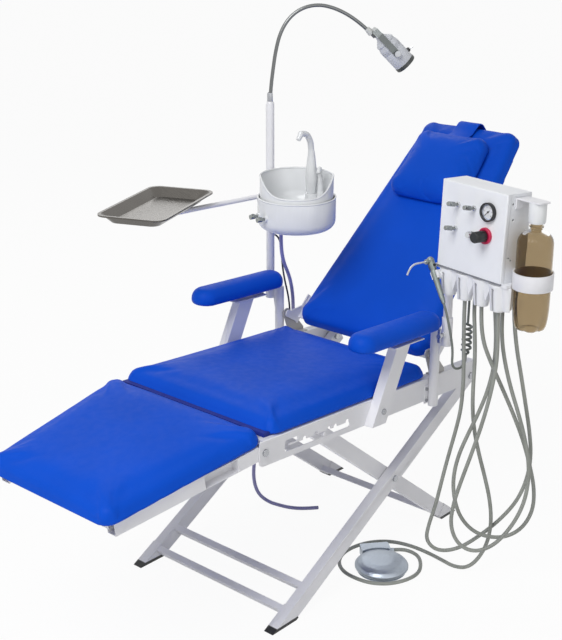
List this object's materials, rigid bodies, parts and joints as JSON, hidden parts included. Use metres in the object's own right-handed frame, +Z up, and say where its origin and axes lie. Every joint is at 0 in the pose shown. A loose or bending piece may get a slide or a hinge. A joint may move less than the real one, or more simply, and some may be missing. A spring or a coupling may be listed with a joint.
{
  "type": "portable dental unit",
  "caption": "Folding dental chair on scissor legs with lamp, cuspidor and instrument tray on one pole and a handpiece control unit with hoses, water bottle and foot pedal on the other.",
  "frame": {"origin": "on the floor, under the middle of the bounding box of the object without its free hoses", "axes": "+X towards the head end of the chair, +Y towards the lamp and cuspidor side, +Z up"},
  "size_m": [1.5842, 1.082, 1.357],
  "materials": {
    "frame_paint": "satin",
    "steel_bright": "polished",
    "steel_brushed": "satin",
    "alloy": "satin",
    "white_plastic": "gloss",
    "holder_plastic": "satin",
    "black_plastic": "matte",
    "foot_rubber": "matte",
    "hose_rubber": "satin",
    "dark_rubber": "satin",
    "drain_plastic": "satin",
    "blue_vinyl": "satin",
    "board_wood": "matte",
    "case_paint": "satin",
    "lamp_silver": "satin",
    "lens_glass": "gloss",
    "gauge_white": "satin",
    "bottle_plastic": "gloss",
    "panel_black": "satin"
  },
  "bodies": {
    "chair": {"rail_near": "frame_paint", "rail_far": "frame_paint", "seat_crossbars": "frame_paint", "seat_board": "board_wood", "seat_cushion": "blue_vinyl", "recliner_plates": "frame_paint", "post_sockets": "frame_paint", "arm_posts": "frame_paint", "arm_pads": "blue_vinyl", "chair_fasteners": "steel_brushed", "drain_hose": "drain_plastic", "lamp_cable": "dark_rubber"},
    "outer_legs": {"outer_leg_frame": "frame_paint", "outer_foot_caps": "foot_rubber", "frame_bolts": "steel_brushed"},
    "inner_legs": {"inner_leg_frame": "frame_paint", "inner_foot_caps": "foot_rubber"},
    "legrest": {"legrest_frame": "frame_paint", "legrest_cushion": "blue_vinyl"},
    "backrest": {"backrest_frame": "frame_paint", "backrest_cushion": "blue_vinyl"},
    "headrest": {"pillow": "blue_vinyl"},
    "lamp_post": {"lamp_pole": "frame_paint", "gooseneck": "steel_brushed"},
    "lamp_head": {"lamp_body": "lamp_silver", "lamp_lens": "lens_glass"},
    "lamp_toggle": {"lamp_switch": "steel_bright"},
    "tray_swing": {"tray_arm": "frame_paint"},
    "tray_pan": {"tray": "steel_brushed"},
    "cuspidor": {"cuspidor_arm": "frame_paint", "cuspidor_shell": "white_plastic", "cuspidor_bowl": "white_plastic"},
    "cup_spout": {"cup_filler": "white_plastic"},
    "valve_a": {"valve_knob_a": "steel_bright"},
    "valve_b": {"valve_knob_b": "steel_bright"},
    "unit": {"unit_pole": "frame_paint", "unit_case": "case_paint", "panel_fittings": "panel_black", "holder": "holder_plastic", "bottle_bracket": "frame_paint", "bottle_cap": "white_plastic", "hose_a": "hose_rubber", "hose_b": "hose_rubber", "hose_c": "hose_rubber", "pedal_hose": "hose_rubber", "syringe_hose": "dark_rubber", "syringe_coil": "dark_rubber", "pedal_base": "alloy"},
    "pedal_plate": {"pedal_disc": "alloy"},
    "switch_a": {"toggle_a": "steel_bright"},
    "switch_b": {"toggle_b": "steel_bright"},
    "switch_c": {"toggle_c": "steel_bright"},
    "needle_valve": {"needle_knob": "steel_bright"},
    "gauge_hand": {"gauge_needle": "black_plastic"},
    "regulator": {"regulator_knob": "black_plastic"},
    "syringe": {"syringe_body": "steel_brushed"},
    "nozzle": {"syringe_nozzle": "steel_bright"},
    "button_air": {"air_button": "black_plastic"},
    "button_water": {"water_button": "black_plastic"},
    "water_bottle": {"bottle": "bottle_plastic"}
  },
  "joints": [
    {"name": "outer_fold", "type": "hinge", "parent": "chair", "child": "outer_legs", "pos_m": [0.43588, 0.06097, 0.41739], "axis": [0, 1, 0], "range_deg": [-8, 30]},
    {"name": "inner_fold", "type": "hinge", "parent": "outer_legs", "child": "inner_legs", "pos_m": [0.1207, 0.06097, 0.231], "axis": [0, 1, 0], "range_deg": [-60, 16]},
    {"name": "legrest_tilt", "type": "hinge", "parent": "chair", "child": "legrest", "pos_m": [-0.37115, 0.06097, 0.47912], "axis": [0, 1, 0], "range_deg": [-80, 5]},
    {"name": "backrest_recline", "type": "hinge", "parent": "chair", "child": "backrest", "pos_m": [0.2487, 0.06097, 0.53], "axis": [0, -1, 0], "range_deg": [-40, 20]},
    {"name": "headrest_height", "type": "slide", "parent": "backrest", "child": "headrest", "axis": [0.723, 0, 0.6909], "range_m": [0, 0.06]},
    {"name": "lamp_pole_swivel", "type": "hinge", "parent": "chair", "child": "lamp_post", "pos_m": [0.2407, 0.35197, 0.5713], "axis": [0, 0, -1], "range_deg": [-30, 60]},
    {"name": "lamp_tilt", "type": "hinge", "parent": "lamp_post", "child": "lamp_head", "pos_m": [0.48955, 0.13637, 1.2296], "axis": [0.6548, 0.7558, 0], "range_deg": [-55, 55]},
    {"name": "lamp_switch", "type": "hinge", "parent": "lamp_head", "child": "lamp_toggle", "pos_m": [0.51816, 0.11158, 1.23616], "axis": [0.6548, 0.7558, 0], "range_deg": [-22, 0]},
    {"name": "tray_arm_swing", "type": "hinge", "parent": "lamp_post", "child": "tray_swing", "pos_m": [0.2407, 0.35197, 0.858], "axis": [0, 0, 1], "range_deg": [-90, 10]},
    {"name": "tray_turn", "type": "hinge", "parent": "tray_swing", "child": "tray_pan", "pos_m": [-0.1253, 0.40297, 0.872], "axis": [0, 0, 1], "continuous": true},
    {"name": "cuspidor_swing", "type": "hinge", "parent": "lamp_post", "child": "cuspidor", "pos_m": [0.2407, 0.35197, 0.822], "axis": [0, 0, 1], "range_deg": [-10, 25]},
    {"name": "cup_filler_swing", "type": "hinge", "parent": "cuspidor", "child": "cup_spout", "pos_m": [0.2687, 0.23197, 0.876], "axis": [0, 0, 1], "range_deg": [-50, 50]},
    {"name": "valve_a_turn", "type": "hinge", "parent": "cuspidor", "child": "valve_a", "pos_m": [0.10938, 0.28765, 0.833], "axis": [-0.9659, 0.2588, 0], "range_deg": [0, 90]},
    {"name": "valve_b_turn", "type": "hinge", "parent": "cuspidor", "child": "valve_b", "pos_m": [0.09732, 0.25265, 0.833], "axis": [-0.9659, 0.2588, 0], "range_deg": [0, 90]},
    {"name": "unit_swivel", "type": "hinge", "parent": "chair", "child": "unit", "pos_m": [0.2457, -0.23003, 0.5713], "axis": [0, 0, 1], "range_deg": [-20, 20]},
    {"name": "pedal_press", "type": "slide", "parent": "unit", "child": "pedal_plate", "axis": [0, 0, -1], "range_m": [0, 0.005], "stiffness_N_per_m": 2500, "springref_m": -0.003},
    {"name": "toggle_a_flip", "type": "hinge", "parent": "unit", "child": "switch_a", "pos_m": [0.16975, -0.29206, 0.94995], "axis": [0.1994, 0.9799, 0], "range_deg": [-30, 0]},
    {"name": "toggle_b_flip", "type": "hinge", "parent": "unit", "child": "switch_b", "pos_m": [0.15963, -0.34204, 0.95095], "axis": [0.1994, 0.9799, 0], "range_deg": [-30, 0]},
    {"name": "toggle_c_flip", "type": "hinge", "parent": "unit", "child": "switch_c", "pos_m": [0.16792, -0.28862, 0.893], "axis": [0.1994, 0.9799, 0], "range_deg": [-30, 0]},
    {"name": "needle_valve_turn", "type": "hinge", "parent": "unit", "child": "needle_valve", "pos_m": [0.15344, -0.3418, 0.89116], "axis": [0.979, -0.1992, -0.0436], "range_deg": [-180, 180]},
    {"name": "gauge_needle_turn", "type": "hinge", "parent": "unit", "child": "gauge_hand", "pos_m": [0.14981, -0.38801, 0.95197], "axis": [0.979, -0.1992, -0.0436], "range_deg": [0, 270], "stiffness_Nm_per_rad": 0.00002},
    {"name": "regulator_turn", "type": "hinge", "parent": "unit", "child": "regulator", "pos_m": [0.13373, -0.37963, 0.89668], "axis": [0.979, -0.1992, -0.0436], "range_deg": [-180, 180]},
    {"name": "syringe_lift", "type": "slide", "parent": "unit", "child": "syringe", "axis": [0.1387, 0.4939, 0.8584], "range_m": [0, 0.12]},
    {"name": "nozzle_turn", "type": "hinge", "parent": "syringe", "child": "nozzle", "pos_m": [0.16018, -0.22376, 0.80153], "axis": [0.979, -0.1992, -0.0436], "continuous": true},
    {"name": "air_button_press", "type": "slide", "parent": "syringe", "child": "button_air", "axis": [0.1494, 0.8464, -0.5112], "range_m": [0, 0.002], "stiffness_N_per_m": 600},
    {"name": "water_button_press", "type": "slide", "parent": "syringe", "child": "button_water", "axis": [-0.1494, -0.8464, 0.5112], "range_m": [0, 0.002], "stiffness_N_per_m": 600},
    {"name": "bottle_unscrew", "type": "hinge", "parent": "unit", "child": "water_bottle", "pos_m": [0.1819, -0.49503, 0.9], "axis": [0, 0, 1], "range_deg": [0, 360]}
  ],
  "couplings": [
    {"joint": "inner_fold", "follows": "outer_fold", "ratio": -2}
  ]
}
